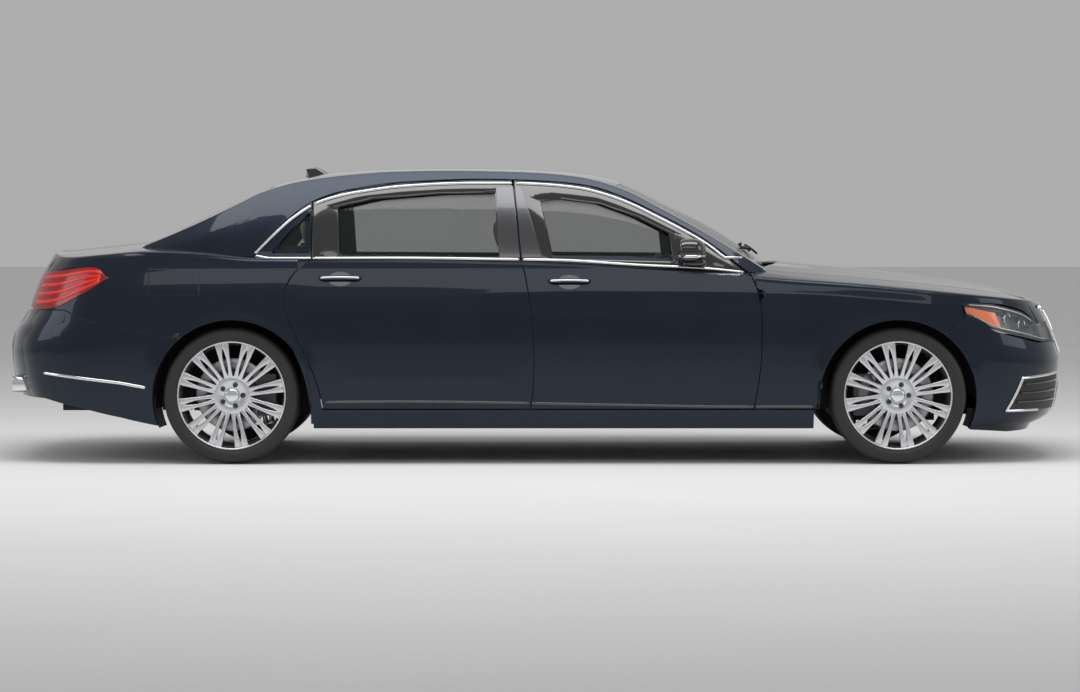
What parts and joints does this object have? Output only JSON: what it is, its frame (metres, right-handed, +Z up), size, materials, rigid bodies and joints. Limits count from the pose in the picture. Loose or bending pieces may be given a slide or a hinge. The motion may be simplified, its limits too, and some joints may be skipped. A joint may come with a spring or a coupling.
{
  "type": "luxury sedan",
  "caption": "Long four-door sedan with opening doors, bonnet and boot, steered front wheels and freely turning wheels.",
  "frame": {"origin": "on the ground, midway along the car and on its centre line", "axes": "+X forward, +Y to the car's left, +Z up"},
  "size_m": [5.4625, 2.08, 1.498],
  "materials": {
    "paint": "dark blue metallic, clear coated",
    "chrome": "bright",
    "lamp": "clear lens",
    "red_lamp": "red lens",
    "glass": "lightly tinted",
    "black_plastic": "textured",
    "steel": "coated",
    "aluminium": "cast",
    "iron": "machined",
    "trim": "soft touch",
    "leather": "cream",
    "black_leather": "smooth",
    "alloy": "bright machined",
    "tyre": "black rubber"
  },
  "bodies": {
    "body": {"body_sides": "paint", "roof_panel": "paint", "front_wings": "paint", "front_bumper": "paint", "rear_bumper": "paint", "radiator_grille": "chrome", "headlamps": "lamp", "tail_lamps": "red_lamp", "windscreen": "glass", "rear_window": "glass", "quarter_windows": "glass", "cowl_panel": "black_plastic", "exhaust_system": "steel", "engine": "aluminium", "front_subframe": "steel", "rear_subframe": "steel", "rear_knuckles": "iron", "arch_liners": "black_plastic", "dashboard": "trim", "centre_console": "trim", "front_seats": "leather", "rear_seats": "leather", "floor_pan": "steel", "parcel_shelf": "trim", "steering_column": "trim"},
    "front_door_left": {"door_front_left": "paint", "glass_front_left": "glass", "door_mirror_left": "paint"},
    "rear_door_left": {"door_rear_left": "paint", "glass_rear_left": "glass"},
    "front_hub_left": {"knuckle_front_left": "iron"},
    "front_wheel_left": {"wheel_front_left": "alloy", "tyre_front_left": "tyre"},
    "rear_wheel_left": {"wheel_rear_left": "alloy", "tyre_rear_left": "tyre"},
    "front_door_right": {"door_front_right": "paint", "glass_front_right": "glass", "door_mirror_right": "paint"},
    "rear_door_right": {"door_rear_right": "paint", "glass_rear_right": "glass"},
    "front_hub_right": {"knuckle_front_right": "iron"},
    "front_wheel_right": {"wheel_front_right": "alloy", "tyre_front_right": "tyre"},
    "rear_wheel_right": {"wheel_rear_right": "alloy", "tyre_rear_right": "tyre"},
    "bonnet": {"bonnet": "paint"},
    "boot_lid": {"boot_lid": "paint"},
    "steering_wheel": {"steering_wheel": "black_leather"},
    "fuel_flap": {"fuel_flap": "paint"}
  },
  "joints": [
    {"name": "front_door_left_hinge", "type": "hinge", "parent": "body", "child": "front_door_left", "pos_m": [1.065, 0.9335, 0.6], "axis": [0, 0, -1], "range_deg": [0, 66]},
    {"name": "rear_door_left_hinge", "type": "hinge", "parent": "body", "child": "rear_door_left", "pos_m": [-0.084, 0.9335, 0.6], "axis": [0, 0, -1], "range_deg": [0, 70]},
    {"name": "steer_left", "type": "hinge", "parent": "body", "child": "front_hub_left", "pos_m": [1.825, 0.735, 0.345], "axis": [0, 0, 1], "range_deg": [-35, 35]},
    {"name": "front_wheel_left_spin", "type": "hinge", "parent": "front_hub_left", "child": "front_wheel_left", "pos_m": [1.825, 0.812, 0.345], "axis": [0, 1, 0], "continuous": true},
    {"name": "rear_wheel_left_spin", "type": "hinge", "parent": "body", "child": "rear_wheel_left", "pos_m": [-1.54, 0.81, 0.345], "axis": [0, 1, 0], "continuous": true},
    {"name": "front_door_right_hinge", "type": "hinge", "parent": "body", "child": "front_door_right", "pos_m": [1.065, -0.9335, 0.6], "axis": [0, 0, 1], "range_deg": [0, 66]},
    {"name": "rear_door_right_hinge", "type": "hinge", "parent": "body", "child": "rear_door_right", "pos_m": [-0.084, -0.9335, 0.6], "axis": [0, 0, 1], "range_deg": [0, 70]},
    {"name": "steer_right", "type": "hinge", "parent": "body", "child": "front_hub_right", "pos_m": [1.825, -0.735, 0.345], "axis": [0, 0, 1], "range_deg": [-35, 35]},
    {"name": "front_wheel_right_spin", "type": "hinge", "parent": "front_hub_right", "child": "front_wheel_right", "pos_m": [1.825, -0.812, 0.345], "axis": [0, 1, 0], "continuous": true},
    {"name": "rear_wheel_right_spin", "type": "hinge", "parent": "body", "child": "rear_wheel_right", "pos_m": [-1.54, -0.81, 0.345], "axis": [0, 1, 0], "continuous": true},
    {"name": "bonnet_hinge", "type": "hinge", "parent": "body", "child": "bonnet", "pos_m": [1.112, 0, 0.962], "axis": [0, -1, 0], "range_deg": [0, 55]},
    {"name": "boot_hinge", "type": "hinge", "parent": "body", "child": "boot_lid", "pos_m": [-1.765, 0, 1.03], "axis": [0, 1, 0], "range_deg": [0, 70]},
    {"name": "steering_wheel_turn", "type": "hinge", "parent": "body", "child": "steering_wheel", "pos_m": [0.585, 0.38, 0.88], "axis": [0.9063, 0, -0.4226], "range_deg": [-525, 525]},
    {"name": "fuel_flap_hinge", "type": "hinge", "parent": "body", "child": "fuel_flap", "pos_m": [-1.715, -0.935, 0.92], "axis": [0, 0, 1], "range_deg": [0, 85]}
  ],
  "couplings": [
    {"joint": "steer_right", "follows": "steer_left", "ratio": 1},
    {"joint": "steering_wheel_turn", "follows": "steer_left", "ratio": -15}
  ]
}
